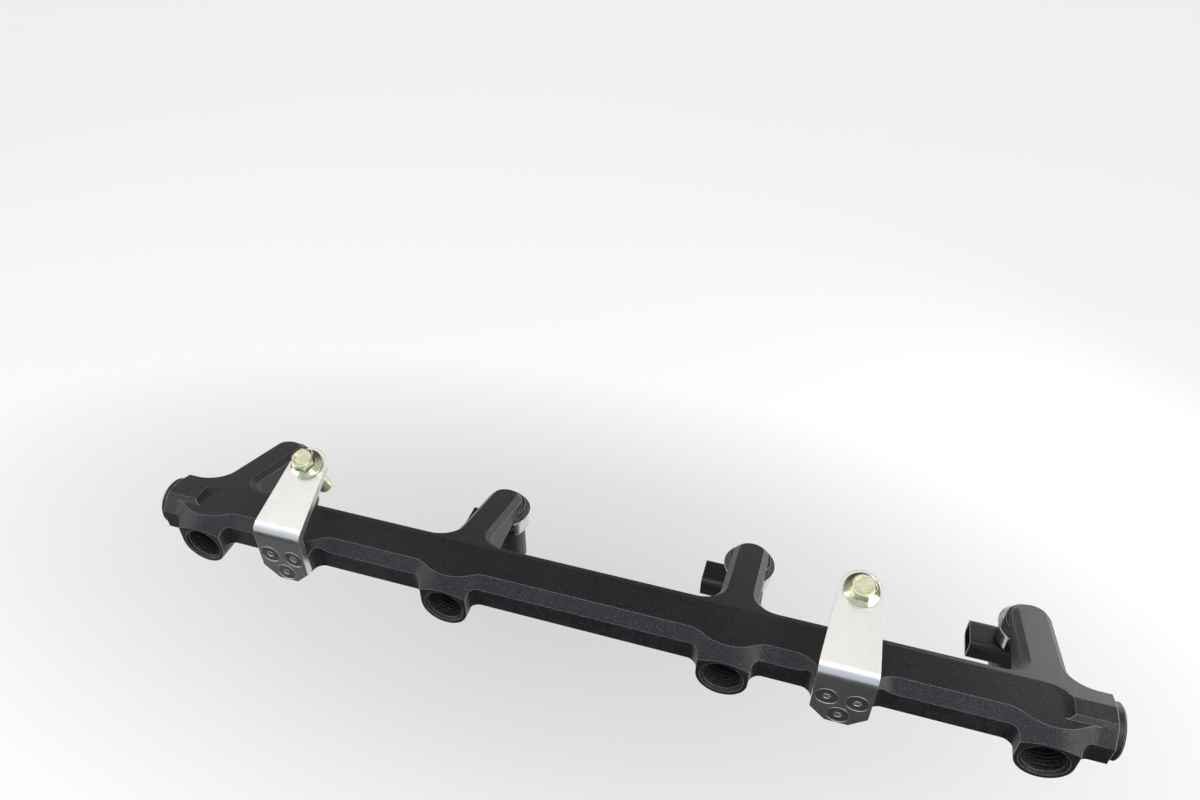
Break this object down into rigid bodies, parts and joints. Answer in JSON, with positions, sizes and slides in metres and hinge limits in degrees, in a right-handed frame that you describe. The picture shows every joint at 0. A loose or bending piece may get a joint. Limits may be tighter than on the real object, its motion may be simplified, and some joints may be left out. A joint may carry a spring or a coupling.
{
  "type": "fuel rail",
  "caption": "Milled fuel rail bar with threaded bosses, sloping arms with injector cups, clipped injectors and bent sheet mounting brackets.",
  "frame": {"origin": "on the axis of the main bore, where the thread of the left end port starts, 1.0 mm inside the end face", "axes": "+X along the main bore to the other end port; +Y from the bar towards the injectors; +Z square to the bar's flat top face, away from the injector tips"},
  "size_m": [0.3601, 0.0753, 0.0936],
  "materials": {
    "anodised_body": "black anodised over a fine milled and blasted surface, satin",
    "brackets": "brushed stainless sheet",
    "screws": "machined stainless, satin",
    "bolts": "zinc plated with a pale yellow, slightly iridescent tint",
    "injector_steel": "turned stainless",
    "injector_plastic": "black moulded plastic, half gloss",
    "seals": "black rubber",
    "clips": "bright spring steel"
  },
  "bodies": {
    "root": {"rail_body": "anodised_body", "bracket_1": "brackets", "bracket_2": "brackets", "bracket_screw_1": "screws", "bracket_screw_2": "screws", "bracket_screw_3": "screws", "bracket_screw_4": "screws", "bracket_screw_5": "screws", "bracket_screw_6": "screws", "bracket_bolt_1": "bolts", "bracket_bolt_2": "bolts", "injector_core_1": "injector_steel", "injector_housing_1": "injector_plastic", "upper_oring_1": "seals", "lower_oring_1": "seals", "injector_clip_1": "clips", "injector_core_2": "injector_steel", "injector_housing_2": "injector_plastic", "upper_oring_2": "seals", "lower_oring_2": "seals", "injector_clip_2": "clips", "injector_core_3": "injector_steel", "injector_housing_3": "injector_plastic", "upper_oring_3": "seals", "lower_oring_3": "seals", "injector_clip_3": "clips", "injector_core_4": "injector_steel", "injector_housing_4": "injector_plastic", "upper_oring_4": "seals", "lower_oring_4": "seals", "injector_clip_4": "clips"}
  },
  "joints": []
}
